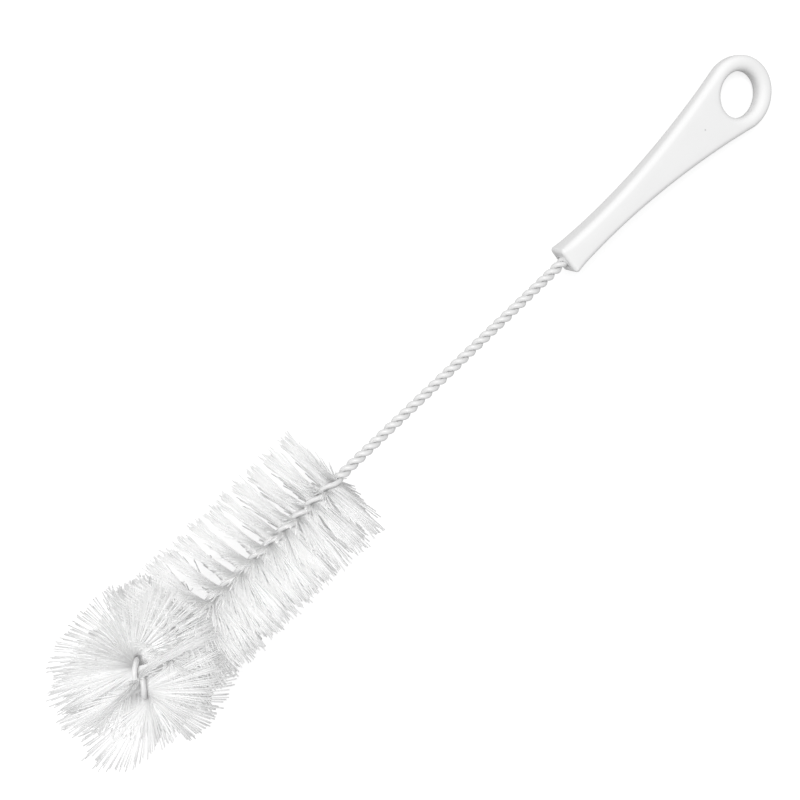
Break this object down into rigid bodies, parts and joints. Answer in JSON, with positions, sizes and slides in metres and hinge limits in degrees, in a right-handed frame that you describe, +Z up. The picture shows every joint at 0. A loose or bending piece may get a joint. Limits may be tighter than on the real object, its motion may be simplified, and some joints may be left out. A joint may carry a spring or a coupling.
{
  "type": "bottle brush",
  "caption": "White bottle brush lying at rest: moulded handle with a hanging ring, coated twisted-wire stem, nylon bristles in open turns, end folded over into a loop.",
  "frame": {"origin": "middle of the bounding box along and across the brush, on the ground the ring and the bristles rest on", "axes": "+X along the brush towards the hanging ring, +Y to the brush's left side, +Z up"},
  "size_m": [0.379, 0.062, 0.0796],
  "materials": {
    "handle": "satin",
    "wire_coating": "plastic coated, satin",
    "bristles": "nylon filament"
  },
  "bodies": {
    "root": {"handle": "handle", "wire_1": "wire_coating", "wire_2": "wire_coating", "wire_3": "wire_coating", "wire_4": "wire_coating", "bristles_head": "bristles", "bristles_end": "bristles"}
  },
  "joints": []
}
